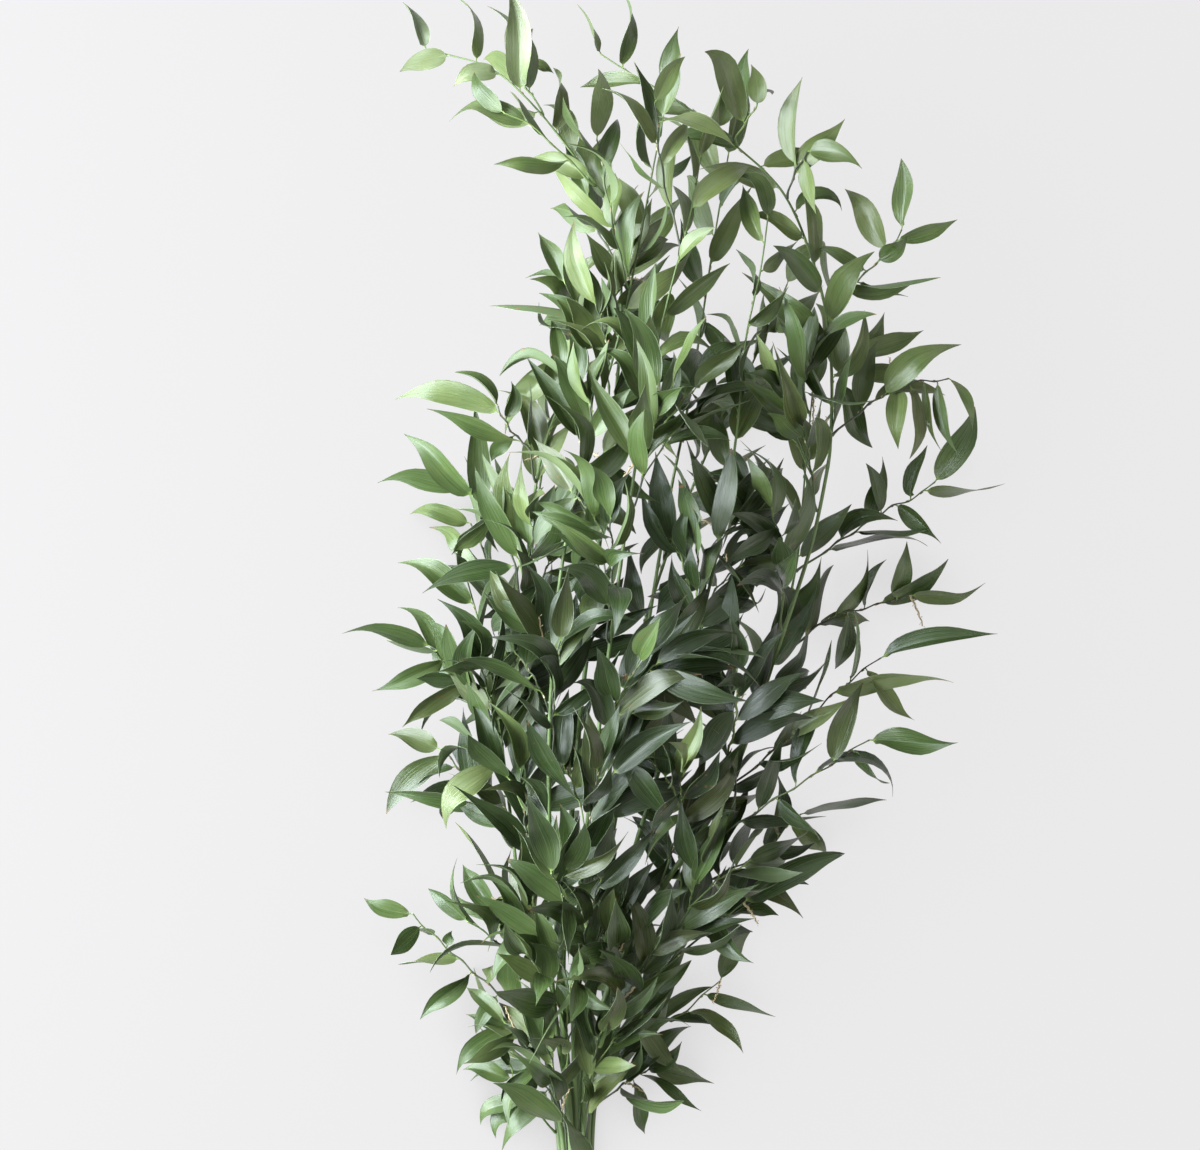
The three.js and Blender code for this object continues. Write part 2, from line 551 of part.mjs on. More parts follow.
// Main stems: bare from the cut end up, with leaf nodes at the top.
function growStem({ name, slot, leaves, path, aims }) {
  const gatherX = slot[0] * stemPitch;
  const gatherZ = stemRadius + 0.2 + slot[1] * stemPitch * Math.cos(Math.PI / 6);
  const cutY = -cutLength + 9 * Math.sin(slot[0] * 2.3 + slot[1] * 4.1);
  const cut = new THREE.Vector3(gatherX, cutY, gatherZ);
  const gather = new THREE.Vector3(gatherX, gatherEnd, gatherZ);
  const ease = gather.clone().lerp(planPoint(path[0]), 0.09);
  ease.y = THREE.MathUtils.lerp(gather.y, path[0][1] * square, 0.3);
  const curve = new THREE.CurvePath();
  curve.add(new THREE.LineCurve3(cut, gather));
  curve.add(new THREE.CatmullRomCurve3([gather, ease, ...path.map(planPoint)], false, "centripetal"));
  const length = curve.getLength();
  const leafy = leaves * leafSpacing;
  const bareSteps = Math.round((length - leafy) / bareSpacing);
  const distances = Array.from({ length: bareSteps }, (_, i) => (i * (length - leafy)) / bareSteps);
  for (let n = 0; n <= leaves; n++) distances.push(length - leafy + n * leafSpacing);
  const shares = distances.map((distance) => Math.min(1, distance / length));
  const centres = shares.map((share) => curve.getPointAt(share));
  const taper = (share) => THREE.MathUtils.lerp(stemRadius, stemTipRadius, Math.pow(share, 1.3));
  const radii = shares.map(taper);
  const flow = flowOf(centres);
  flow[0].set(0, 1, 0);
  const rings = rodRings(centres, radii, 6, flow);
  const firstSide = random() < 0.5 ? 1 : -1;
  const rod = { rings, centres, radii, flow, leaves, aims, firstSide, sockets: new Map() };
  const stretches = stretchesOf(rings, rod);
  if (!stretches.every((shape) => isClear(shape))) throw new Error("stem " + name + " crosses another");
  placed.push(...stretches);
  return { letter: name, name: "stem_" + name, rods: [rod] };
}

// The place on a stem that is a given way up the plan.
function placeOn({ rods: [{ centres, radii }] }, planAlong) {
  const y = planAlong * square;
  const i = centres.findIndex((centre, k) => centre.y < y && centres[k + 1]?.y >= y);
  if (i < 0) return null;
  const part = (y - centres[i].y) / (centres[i + 1].y - centres[i].y);
  return {
    point: centres[i].clone().lerp(centres[i + 1], part),
    flow: centres[i + 1].clone().sub(centres[i]).normalize(),
    radius: THREE.MathUtils.lerp(radii[i], radii[i + 1], part),
    share: (i + part) / (centres.length - 1),
  };
}

// A thin twig along a curve, with its nodes set off to alternate sides. Null if it isn't clear.
function growTwig(curve, { radius, leaves, aims, firstSide, outward, bearer, node, socket }) {
  const length = curve.getLength();
  const firstLeaf = Math.min(0.4, firstLeafAt / length);
  const shares = [0, Math.min(0.12, elbowAt / length)];
  for (let n = 0; n < leaves; n++) shares.push(firstLeaf + ((1 - firstLeaf) * n) / (leaves - 1));
  const centres = shares.map((share) => curve.getPointAt(Math.min(1, share)));
  const flow = flowOf(centres);
  centres.forEach((centre, i) => {
    const sideways = new THREE.Vector3().crossVectors(up, flow[i]);
    if (i > 1) centre.addScaledVector(sideways, i % 2 ? zigzag : -zigzag);
  });
  flow[0] = outward;
  const radii = shares.map((share) => THREE.MathUtils.lerp(radius, twigTipRadius, share));
  const rings = rodRings(centres, radii, 3, flow);
  if (socket) rings[0] = untwisted(socket.points, rings[1]);
  const rod = { rings, centres, radii, flow, leaves, aims, firstSide, sockets: new Map() };
  rod.isFork = Boolean(socket);
  const stretches = stretchesOf(rings, rod);
  const isOwnNode = (old) => socket && old.rod === bearer && old.part === node;
  if (!stretches.every((shape) => isClear(shape, (old) => shape.part < 1 && isOwnNode(old)))) return null;
  const fatRings = rodRings(centres, radii.map((r) => r + twigClearance), 3, flow);
  const fat = stretchesOf(fatRings);
  if (!fat.every((shape) => isClear(shape, (old) => shape.part < 2 && old.rod === bearer))) return null;
  placed.push(...stretches);
  return rod;
}

// Ways to shift a twig's route, [up, across], in millimetres, from the least on.
const lifts = [0, 5, -5, 10, -10, 16, -16, 23, 30];
const shifts = lifts.flatMap((lift) => [0, 5, -5, 10, -10].map((across) => [lift, across]));
shifts.sort((p, q) => Math.hypot(...p) - Math.hypot(...q));

// A side shoot leaves its stem square to it and follows a route, which is shifted until it is clear.
function growShoot(stem, planAlong, route, details) {
  const { point, flow, radius } = placeOn(stem, planAlong);
  for (const [lift, shift] of shifts) {
    const places = route.map((place) => place.clone().add(new THREE.Vector3(shift, 0, lift)));
    places.forEach((place) => (place.z = Math.max(place.z, lowestTwig)));
    const outward = squareTo(places[0].clone().sub(point), flow);
    const start = onward(point, outward, radius + joint);
    const elbow = onward(onward(start, outward, 3), flow, 3.5);
    const curve = new THREE.CatmullRomCurve3([start, elbow, ...places], false, "centripetal");
    const rod = growTwig(curve, { ...details, outward, bearer: stem.rods[0], radius: twigRadius });
    if (rod) return rod;
  }
  throw new Error("no clear way for a shoot of stem " + stem.letter + " at " + planAlong);
}

function outlineShoot({ stem, along, route, leaves, aims }, i) {
  const firstSide = i % 2 ? 1 : -1;
  const rod = growShoot(stemBy[stem], along, route.map(planPoint), { leaves, aims, firstSide });
  rod.isOutline = true;
  return { name: "shoot_" + stem + "_" + (i + 1), rods: [rod] };
}

// The stem that passes nearest to a tip, a shoot's length before it.
function bearerOf(tip) {
  const reaches = grownStems.map((stem) => ({ stem, place: placeOn(stem, tip[1] - innerReach) }));
  const growing = reaches.filter(({ place }) => place && place.share < 0.93);
  const wanted = planPoint([tip[0], 0, tip[2] - 4]);
  const miss = ({ place: { point } }) => Math.hypot(point.x - wanted.x, point.z - wanted.z);
  return growing.sort((p, q) => miss(p) - miss(q))[0];
}

function innerShoot(tip, i) {
  const { stem, place } = bearerOf(tip);
  const end = planPoint(tip);
  const bend = place.point.clone().lerp(end, 0.45);
  bend.addScaledVector(place.flow, 12);
  const firstSide = i % 2 ? 1 : -1;
  const main = growShoot(stem, tip[1] - innerReach, [bend, end], { leaves: 9, aims: [], firstSide });
  const name = "shoot_" + stem.letter + "_" + (outlineShoots.length + i + 1);
  return { name, rods: [main, ...forks.flatMap((fork) => forkOf(main, firstSide * fork.side, fork))] };
}

// Ways for a fork to lie, [above, beside] its side shoot, in millimetres, from the best on.
const forkLies = [[-30, 28], [24, 26], [-14, 34], [12, 34], [-40, 14], [34, 12]];

// A smaller twig that forks off a shoot, to one side and below or above it.
function forkOf(main, lean, { node, reach }) {
  const flow = main.flow[node];
  const root = main.centres[node];
  const sideways = new THREE.Vector3().crossVectors(up, flow).normalize();
  for (const [lift, shift] of forkLies) {
    for (const side of [lean, -lean]) {
      const end = onward(onward(onward(root, flow, reach), sideways, side * shift), up, lift);
      end.z = Math.max(end.z, lowestTwig + 1);
      const bend = onward(root.clone().lerp(end, 0.4), flow, 9);
      const socket = socketOn(main, node, bend.clone().sub(root).normalize());
      if (!socket) continue;
      const curve = new THREE.CatmullRomCurve3([centreOf(socket.points), bend, end], false, "centripetal");
      const details = { radius: forkRadius, leaves: forkLeaves, aims: [], firstSide: -side };
      const outward = curve.getTangentAt(0);
      const rod = growTwig(curve, { ...details, outward, bearer: main, node, socket });
      if (!rod) continue;
      main.sockets.set(socket.key, socket.points);
      return [rod];
    }
  }
  return [];
}

const grownStems = stems.map(growStem);
const stemBy = Object.fromEntries(grownStems.map((stem) => [stem.letter, stem]));
const outline = outlineShoots.map(outlineShoot);
const inner = innerTips.map(innerShoot);

const bunch = new THREE.Group();
for (const { name, rods } of [...outline, ...grownStems, ...inner]) {
  const leaves = rods.flatMap(leavesOf);
  bunch.add(meshOf([...rods.flatMap(rodFaces), ...leaves], name));
}

// The origin is on the surface, below the middle of the bunch.
const box = new THREE.Box3().setFromObject(bunch);
const middle = box.getCenter(new THREE.Vector3());
bunch.position.set(-middle.x, -middle.y, -box.min.z);

export default bunch;
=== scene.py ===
# A bunch of ruscus stems laid down on a pale floor.
# Fine leaves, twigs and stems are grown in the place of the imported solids.
# Metres, +Y from the cut ends to the tips, +X across the bunch, +Z up.
import math
import bpy
import bmesh
import numpy as np
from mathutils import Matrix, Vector


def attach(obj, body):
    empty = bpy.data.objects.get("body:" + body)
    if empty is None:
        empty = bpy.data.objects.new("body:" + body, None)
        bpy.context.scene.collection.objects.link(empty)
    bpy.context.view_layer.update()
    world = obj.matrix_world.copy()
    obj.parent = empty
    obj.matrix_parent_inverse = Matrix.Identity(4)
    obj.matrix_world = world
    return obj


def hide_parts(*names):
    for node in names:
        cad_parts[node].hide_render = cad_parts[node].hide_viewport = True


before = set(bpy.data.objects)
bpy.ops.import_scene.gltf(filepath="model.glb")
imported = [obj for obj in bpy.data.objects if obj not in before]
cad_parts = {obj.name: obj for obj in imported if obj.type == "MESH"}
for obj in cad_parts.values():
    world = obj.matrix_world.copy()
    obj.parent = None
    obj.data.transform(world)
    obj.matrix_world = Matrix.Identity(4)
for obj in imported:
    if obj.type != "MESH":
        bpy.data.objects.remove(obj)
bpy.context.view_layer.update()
mm = 0.001
fullTurn = 2 * math.pi
dice = np.random.default_rng(417)  # every chance below comes from here
onLeaf, onTwig, onStem, onCut, onDry = range(5)  # places in the list of finishes


def unit(vectors):
    return vectors / np.maximum(np.linalg.norm(vectors, axis=-1, keepdims=True), 1e-12)


def squareTo(vectors, axes):
    return unit(vectors - (vectors * axes).sum(-1, keepdims=True) * axes)


def distance(first, second):
    return np.linalg.norm(first - second, axis=-1)


# mm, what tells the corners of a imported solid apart
packed = {
    "sameCorner": 0.02,
    "tipReach": 3,  # a leaf's tip is at least this far from the corners of its last ring
    "shootSide": 2.5,  # a side shoot's first ring is even-sided, and its sides are shorter than this
    "shootReach": 3.5,  # corners nearer than this to the middle of a ring are beside it
    "stemReach": 6,
    "stemCorners": 6,  # how many a stem's cut end has
}


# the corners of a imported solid, and for each the corners that it shares an edge with
def cornersOf(node):
    bm = bmesh.new()
    bm.from_mesh(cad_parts[node].data)
    bmesh.ops.remove_doubles(bm, verts=bm.verts, dist=packed["sameCorner"] * mm)
    bm.verts.index_update()
    bm.verts.ensure_lookup_table()
    points = np.array([v.co for v in bm.verts])
    near = [{e.other_vert(v).index for e in v.link_edges} for v in bm.verts]
    bm.free()
    return points, near


# the middle between a ring's two rims, the width there, and the way up from its keel
def readRing(points, ring):
    a, b, c = (points[i] for i in sorted(ring))
    orders = (a, b, c), (b, c, a), (c, a, b)
    left, right, keel = max(orders, key=lambda corners: distance(corners[0], corners[1]))
    middle = (left + right) / 2
    return middle, distance(right, left), unit(middle - keel)


# a leaf is a foot, two rings and a tip, and its tip is the only corner with three far neighbours
def readLeaves(points, near):
    leaves = []
    for tip, around in enumerate(near):
        if len(around) != 3:
            continue
        if min(distance(points[i], points[tip]) for i in around) < packed["tipReach"] * mm:
            continue
        lower = set().union(*(near[i] for i in around)) - around - {tip}
        foot = set().union(*(near[i] for i in lower)) - around - lower
        if len(lower) != 3 or len(foot) != 3:
            print("a leaf that can't be read", len(lower), len(foot))
            continue
        first, width, firstUp = readRing(points, lower)
        second, _, secondUp = readRing(points, around)
        leaves.append({
            "path": np.array([points[list(foot)].mean(0), first, second, points[tip]]),
            "width": width,
            "ups": np.array([firstUp, secondUp]),
            "foot": foot,
            "blade": around | lower | {tip},
        })
    return leaves


# walks up a rod and its forks from ring to ring: the ring middles and radii of each
def readRods(points, near, leaves, start, reach):
    taken = set().union(*(leaf["blade"] for leaf in leaves))
    feet = set().union(*(leaf["foot"] for leaf in leaves))
    rods, starts = [], [start]
    while starts:
        ring, middles, radii = starts.pop(), [], []
        while ring:
            middle = points[list(ring)].mean(0)
            middles.append(middle)
            radii.append(distance(points[list(ring)], middle).mean())
            taken |= ring
            beside = set(np.flatnonzero(distance(points, middle) < reach).tolist())
            around = set().union(*(near[i] for i in ring)) - taken
            fork = (around & beside) - feet
            if len(fork) >= 2 and len(middles) > 1:
                fork |= {j for i in fork for j in near[i] if j in beside and j not in taken | feet}
                starts.append(fork)
            taken |= beside
            ring = around - beside
        rods.append((np.array(middles), np.array(radii)))
    return rods


# the widest even-sided triangle of corners is a side shoot's first ring
def shootStart(points, near):
    widest, start = 0, None
    for i, around in enumerate(near):
        for j in around:
            for k in around & near[j]:
                sides = [distance(points[p], points[q]) for p, q in ((i, j), (j, k), (k, i))]
                even = max(sides) - min(sides) < packed["sameCorner"] * mm
                if even and max(sides) < packed["shootSide"] * mm and min(sides) > widest:
                    widest, start = min(sides), {i, j, k}
    return start


# the corners with the least Y are a stem's cut end
def stemStart(points):
    return set(np.argsort(points[:, 1])[:packed["stemCorners"]].tolist())


def readSolid(node):
    points, near = cornersOf(node)
    leaves = readLeaves(points, near)
    if node.startswith("stem"):
        start, reach = stemStart(points), packed["stemReach"]
    else:
        start, reach = shootStart(points, near), packed["shootReach"]
    return leaves, readRods(points, near, leaves, start, reach * mm)


# one mesh being put together: grids of points become quads with a map, shades and a finish
def newShape():
    keys = ("points", "faces", "map", "tone", "chance", "under", "finish", "smooth")
    return {key: [] for key in keys} | {"count": 0}


def mapOf(across, along):
    return np.stack(np.broadcast_arrays(across[None], along[:, None]), -1)


def quadsOf(grid):
    return np.stack([grid[:-1, :-1], grid[:-1, 1:], grid[1:, 1:], grid[1:, :-1]], 2)


def addFaces(shape, quads, spots, finish, smooth):
    shape["faces"].append(quads)
    shape["map"].append(spots.reshape(-1, 2))
    shape["finish"].append(np.full(len(quads), finish))
    shape["smooth"].append(np.full(len(quads), smooth))


def addGrid(shape, grid, uv, finish, tone=0.5, chance=0.5, under=0.0, flip=False):
    rows, columns = grid.shape[:2]
    index = shape["count"] + np.arange(rows * columns).reshape(rows, columns)
    quads = quadsOf(index).reshape(-1, 4)
    spots = quadsOf(uv).reshape(-1, 4, 2)
    if flip:
        quads, spots = quads[:, ::-1], spots[:, ::-1]
    addFaces(shape, quads, spots, finish, True)
    shape["points"].append(grid.reshape(-1, 3))
    for key, value in (("tone", tone), ("chance", chance), ("under", under)):
        shape[key].append(np.full(rows * columns, value))
    shape["count"] += rows * columns


# stitches the free edges of a leaf's two faces, so that it is one closed skin
def addRim(shape, topStart, bottomStart, uv):
    rows, columns = uv.shape[:2]
    index = np.arange(rows * columns).reshape(rows, columns)
    loop = np.concatenate([index[:, 0], index[-1, 1:], index[-2::-1, -1], index[0, -2:0:-1]])
    onward = np.roll(loop, -1)
    quads = [topStart + loop, topStart + onward, bottomStart + onward, bottomStart + loop]
    flat = uv.reshape(-1, 2)
    spots = [flat[loop], flat[onward], flat[onward], flat[loop]]
    addFaces(shape, np.stack(quads, -1), np.stack(spots, 1), onLeaf, False)


blade = {
    "rows": 15,
    "across": (-1, -0.94, -0.66, -0.3, -0.05, 0.05, 0.3, 0.66, 0.94, 1),
    "rings": (0, 0.32, 0.67, 1),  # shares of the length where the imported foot, rings and tip are
    "rooting": 0.7,  # share of the way that its foot moves to the middle of what bears it
    "stalkLength": 2.4,  # mm
    "stalkWidth": 0.9,
    "stalkDepth": 0.8,  # share of the stalk's width
    "thickness": 0.32,
    "thinEdge": 0.4,  # share of the thickness that is lost at the edges
    "plumpest": 0.8,  # the most that its thickness is, as a share of its width there
    "tipWidth": 0.2,  # share of the stalk's width
    "widest": (0.33, 0.44),  # share of the length where it is widest
    "roundness": (0.5, 0.78),  # low is a round base and a blunt tip
    "drawnTip": (0.2, 0.7),  # how much the tip is drawn out to a thin point
    "drawnFrom": 0.62,
    "fold": (-0.1, 0.75),  # radians that each half stands up from flat
    "foldLost": 0.5,  # share of the fold that is lost at the tip
    "opening": 0.1,  # share of the length over which the fold and the waves set in
    "cup": (-0.1, 0.2),  # rise of the edges as a share of half the width
    "wave": 0.09,
    "waves": (0.8, 1.8),  # along an edge
    "arch": (-0.03, 0.1),  # height of its arch as a share of its length
    "sickle": 0.13,  # sideways bend
    "curledShare": 0.5,  # leaves whose tip curls over
    "curl": (0.08, 0.36),
    "curledFrom": 0.55,
    "roll": 0.6,  # radians to either side, of the whole leaf
    "rollFrom": 0.15,
    "twist": 1.0,  # radians to either side, from end to end
    "twistMiddle": 0.3,
    "clearance": 0.1,  # mm over the floor
}


# from 0 to 1 over the last stretch of a leaf
def lastStretch(along, start):
    return np.clip((along - start) / (1 - start), 0, 1)


# the rows' shares of the whole length and of the blade's: two for the stalk, and closer at both ends
def leafRows(stalk):
    even = np.linspace(0, 1, blade["rows"])
    share = 0.5 * even + 0.5 * (1 - np.cos(math.pi * even)) / 2
    along = np.concatenate([[0, stalk * 0.5], stalk + (1 - stalk) * share])
    return along, np.concatenate([[0, 0], share])


# a leaf's middle line with the ways up and to the side: a cubic through the rings, bent and turned
def leafLine(leaf, along, length):
    rings = np.array(blade["rings"])
    middle = np.vander(along, 4) @ np.linalg.solve(np.vander(rings, 4), leaf["path"])
    change = np.clip((along - rings[1]) / (rings[2] - rings[1]), -0.5, 1.4)[:, None]
    onward = unit(np.gradient(middle, axis=0))
    up = squareTo(leaf["ups"][0] * (1 - change) + leaf["ups"][1] * change, onward)
    side = np.cross(onward, up)
    late = lastStretch(along, blade["curledFrom"])[:, None] ** 2 * length
    bow = (4 * along * (1 - along))[:, None] * length
    curl = dice.uniform(*blade["curl"]) * (dice.uniform() < blade["curledShare"])
    middle = middle + up * (bow * dice.uniform(*blade["arch"]) - late * curl)
    sideways = bow * dice.uniform(-0.5, 0.5) + late * dice.uniform(-1, 1)
    middle = middle + side * sideways * blade["sickle"]
    onward = unit(np.gradient(middle, axis=0))
    up = squareTo(up, onward)
    side = np.cross(onward, up)
    roll = dice.uniform(-1, 1) * blade["roll"] * np.clip(along / blade["rollFrom"], 0, 1)
    twist = dice.uniform(-1, 1) * blade["twist"] * (along - blade["twistMiddle"])
    turn = (roll + twist)[:, None]
    return middle, up * np.cos(turn) + side * np.sin(turn), side * np.cos(turn) - up * np.sin(turn)


# half the width at each row
def halfWidths(share, width):
    widest = dice.uniform(*blade["widest"])
    roundness = dice.uniform(*blade["roundness"])
    taper = roundness * (1 - widest) / widest
    spread = (share / widest) ** roundness * ((1 - share) / (1 - widest)) ** taper
    spread = spread * (1 - dice.uniform(*blade["drawnTip"]) * lastStretch(share, blade["drawnFrom"]) ** 1.2)
    least = blade["stalkWidth"] * mm * np.where(share > 0.5, blade["tipWidth"], 1)
    return np.maximum(spread * width, least) / 2


# how far out and up from the middle of its row each point is: folded, cupped and wavy
def crossSection(along, share, across, half):
    edge = np.abs(across)
    opened = np.clip(share / blade["opening"], 0, 1)
    fold = dice.uniform(*blade["fold"]) * opened * (1 - blade["foldLost"] * share)
    waves = dice.uniform(*blade["waves"])
    shift = dice.uniform(size=2)[(across > 0).astype(int)]  # the two edges wave on their own
    ripple = blade["wave"] * np.sin(fullTurn * (waves * along + shift)) * edge ** 2.5 * opened
    bulge = dice.uniform(*blade["cup"]) * edge ** 2 + ripple
    return across * half * np.cos(fold), edge * half * np.sin(fold) + half * bulge


# half the thickness at each point
def halfThickness(share, across, half):
    depth = np.where(share > 0, blade["thickness"], blade["stalkWidth"] * blade["stalkDepth"]) * mm
    depth = depth * (1 - blade["thinEdge"] * across ** 2)
    return np.minimum(depth / 2, half * blade["plumpest"])


def growLeaf(shape, leaf, tone):
    length = distance(leaf["path"][1:], leaf["path"][:-1]).sum()
    along, share = leafRows(blade["stalkLength"] * mm / length)
    across = np.array(blade["across"])
    uv = mapOf((across + 1) / 2, along)
    middle, up, side = (part[:, None] for part in leafLine(leaf, along, length))
    along, share, across = along[:, None, None], share[:, None, None], across[None, :, None]
    half = halfWidths(share, leaf["width"])
    out, lift = crossSection(along, share, across, half)
    sheet = middle + side * out + up * lift
    skin = up * halfThickness(share, across, half)
    top, bottom = sheet + skin, sheet - skin
    # a leaf that would reach into the floor is lifted
    low = min(0.0, min(bottom[..., 2].min(), top[..., 2].min()) - blade["clearance"] * mm)
    top[..., 2] -= low
    bottom[..., 2] -= low
    chance = dice.uniform()
    topStart = shape["count"]
    addGrid(shape, top, uv, onLeaf, tone, chance, flip=True)
    bottomStart = shape["count"]
    addGrid(shape, bottom, uv, onLeaf, tone, chance, under=1.0)
    addRim(shape, topStart, bottomStart, uv)


# a smooth line through the ring middles, its radii, and where in it the rings are
def smoothLine(middles, radii, step):
    ends = [2 * middles[0] - middles[1], *middles, 2 * middles[-1] - middles[-2]]
    line, thick, marks = [], [], []
    for i in range(len(middles) - 1):
        a, b, c, d = (np.array(p) for p in ends[i:i + 4])
        count = max(2, round(distance(c, b) / (step * mm)))
        marks.append(len(line))
        for t in np.arange(count) / count:
            bend = (2 * a - 5 * b + 4 * c - d) * t ** 2 + (3 * b - a - 3 * c + d) * t ** 3
            line.append(0.5 * (2 * b + (c - a) * t + bend))
            thick.append(radii[i] + (radii[i + 1] - radii[i]) * t)
    marks.append(len(line))
    return np.array([*line, middles[-1]]), np.array([*thick, radii[-1]]), marks


stem = {
    "sides": 18,
    "step": 5.0,  # mm between rings
    "slimTop": 0.45,  # share of its thickness that it loses towards its top
    "nodeSwell": 0.12,  # how much thicker a node is
    "nodeLength": 3.52,  # mm
    "ridges": 6,
    "ridgeDepth": 0.035,  # share of its radius
    "tone": 0.6,
}

twig = {
    "sides": 8,
    "step": 3.0,
    "thickness": 0.62,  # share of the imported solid's
    "rooting": 1.3,  # mm that its foot goes into what bears it
    "footSwell": 0.5,
    "footLength": 3,
    "nodeSwell": 0.4,
    "nodeLength": 2.2,
    "tones": (0.1, 0.35, 0.8),  # dark, green and pale; the dark tone is painted shade, a twig coloured as if in shadow, and the pale one is partly painted light, partly young growth
    "toneShares": (0.5, 0.28, 0.22),
}

mapLength = 0.1  # m along a rod for each 1 in its map


def growRod(shape, line, radii, sides, finish, tone, ridgeDepth=0.0):
    onward = unit(np.gradient(line, axis=0))
    upright = abs(onward[0, 2]) > 0.9
    across = [squareTo(np.array([1.0, 0, 0] if upright else [0, 0, 1.0]), onward[0])]
    for flow in onward[1:]:
        across.append(squareTo(across[-1], flow))
    across = np.array(across)
    other = np.cross(onward, across)
    angle = np.linspace(0, fullTurn, sides + 1)
    bulge = 1 + ridgeDepth * np.cos(stem["ridges"] * angle)
    spokes = across[:, None] * np.cos(angle)[:, None] + other[:, None] * np.sin(angle)[:, None]
    grid = line[:, None] + spokes * (radii[:, None] * bulge)[..., None]
    travelled = np.concatenate([[0], np.cumsum(distance(line[1:], line[:-1]))])
    uv = mapOf(angle / fullTurn, travelled / mapLength)
    addGrid(shape, grid, uv, finish, tone, dice.uniform())
    return grid


# the rings of the low dome that closes a rod's end
endDome = {
    "width": (1, 0.9, 0.5, 0.02),  # shares of the rod's
    "height": (0, 0.6, 1, 1),  # shares of the dome's
    "inward": (0, 0.3, 0.6, 1),  # in its map
    "rise": 0.25,  # share of the rod's radius
}


def addEnd(shape, ring, direction, finish, tone, rise=endDome["rise"]):
    middle = ring[:-1].mean(0)
    top = direction * distance(ring[0], middle) * rise
    rings = zip(endDome["width"], endDome["height"])
    grid = np.array([middle + (ring - middle) * width + top * height for width, height in rings])
    uv = mapOf(np.linspace(0, 1, len(ring)), np.array(endDome["inward"]))
    addGrid(shape, grid, uv, finish, tone)


def swell(line, radii, marks, amount, span):
    swollen = radii.copy()
    for mark in marks:
        gap = distance(line, line[min(mark, len(line) - 1)]) / (span * mm)
        swollen *= 1 + amount * np.exp(-gap ** 2)
    return swollen


def growStem(shape, middles, radii):
    line, thick, marks = smoothLine(middles, radii, stem["step"])
    nodes = marks[1:]
    thick = thick * (1 - stem["slimTop"] * np.linspace(0, 1, len(thick)) ** 1.5)
    thick = swell(line, thick, nodes, stem["nodeSwell"], stem["nodeLength"])
    grid = growRod(shape, line, thick, stem["sides"], onStem, stem["tone"], stem["ridgeDepth"])
    addEnd(shape, grid[0][::-1], unit(line[0] - line[1]), onCut, 0.5)
    addEnd(shape, grid[-1], unit(line[-1] - line[-2]), onTwig, 0.5)
    return line, thick, nodes


def growTwig(shape, middles, radii):
    middles[0] += unit(middles[0] - middles[1]) * twig["rooting"] * mm
    line, thick, marks = smoothLine(middles, radii * twig["thickness"], twig["step"])
    foot, nodes = marks[:1], marks[2:]
    thick = swell(line, thick, nodes, twig["nodeSwell"], twig["nodeLength"])
    thick = swell(line, thick, foot, twig["footSwell"], twig["footLength"])
    tone = dice.choice(twig["tones"], p=twig["toneShares"])
    grid = growRod(shape, line, thick, twig["sides"], onTwig, tone)
    addEnd(shape, grid[0][::-1], unit(line[0] - line[1]), onTwig, 0.5)
    addEnd(shape, grid[-1], unit(line[-1] - line[-2]), onTwig, 0.5)
    return line, thick, nodes


bract = {
    "share": 0.7,  # of the nodes, that have one
    "length": 2.6,  # mm
    "vary": (0.7, 1.3),
    "rows": (0, 0.35, 0.7, 1),  # shares of its length
    "halfWidth": (0.75, 0.7, 0.4, 0.04),  # mm
    "flatness": 0.35,
    "below": 0.6,  # share of its length that is below the node
    "gap": 0.1,  # mm from the twig to its middle at its foot, and how much more at its tip
    "spread": 0.5,
    "sides": 6,
    "rise": 0.1,
}


# a small pointed scale that clasps the twig below a leaf
def addBract(shape, foot, flow, outward):
    length = bract["length"] * mm * dice.uniform(*bract["vary"])
    side = unit(np.cross(flow, outward))
    rows = np.array(bract["rows"])
    angle = np.linspace(0, fullTurn, bract["sides"] + 1)
    away = bract["gap"] + bract["spread"] * rows[:, None] ** 1.5
    middle = foot + outward * away * mm + flow * (rows[:, None] - bract["below"]) * length
    wide = np.array(bract["halfWidth"])[:, None, None] * mm
    spokes = side * np.cos(angle)[:, None] + outward * np.sin(angle)[:, None] * bract["flatness"]
    grid = middle[:, None] + spokes * wide
    addGrid(shape, grid, mapOf(angle / fullTurn, rows), onDry, dice.uniform(), dice.uniform())
    addEnd(shape, grid[0][::-1], -flow, onDry, 0.5, bract["rise"])
    addEnd(shape, grid[-1], flow, onDry, 0.5, bract["rise"])


def addBracts(shape, leaves, line, thick, nodes):
    flows = unit(np.gradient(line, axis=0))
    for mark in nodes[:-1]:
        if dice.uniform() > bract["share"]:
            continue
        closest = min(leaves, key=lambda leaf: distance(leaf["path"][0], line[mark]))
        outward = squareTo(closest["path"][0] - line[mark], flows[mark])
        addBract(shape, line[mark] + outward * thick[mark], flows[mark], outward)


flowerStalk = {
    # mm, a place on the bunch, and the way that the stalk there points
    "places": {
        (-36, -212): (0.3, 0.9),
        (45, -178): (0.67, -0.74),
        (42, -218): (-0.2, -1),
        (-85, -326): (0.2, 1),
        (-126, -277): (-0.5, 0.85),
        (-18, -74): (0.6, 0.5),
        (36, 60): (-0.4, 0.9),
        (-70, 120): (0.5, -0.6),
    },
    "share": 0.025,  # of the leaves, that have one at their foot besides
    "length": (14, 26),  # mm
    "thickness": 1.7,
    "taper": (0.5, 0.28),  # its radius at the foot and at the end, as shares of the thickness
    "sides": 7,
    "step": 0.8,
    "climb": 0.45,  # how steeply it points up
    "zigzag": 0.35,  # mm to either side
    "bend": 2.5,  # mm sideways at its end
    "sag": 0.12,  # share of its length
    "tone": (0.45, 1),
    "flowers": (5, 9),
}

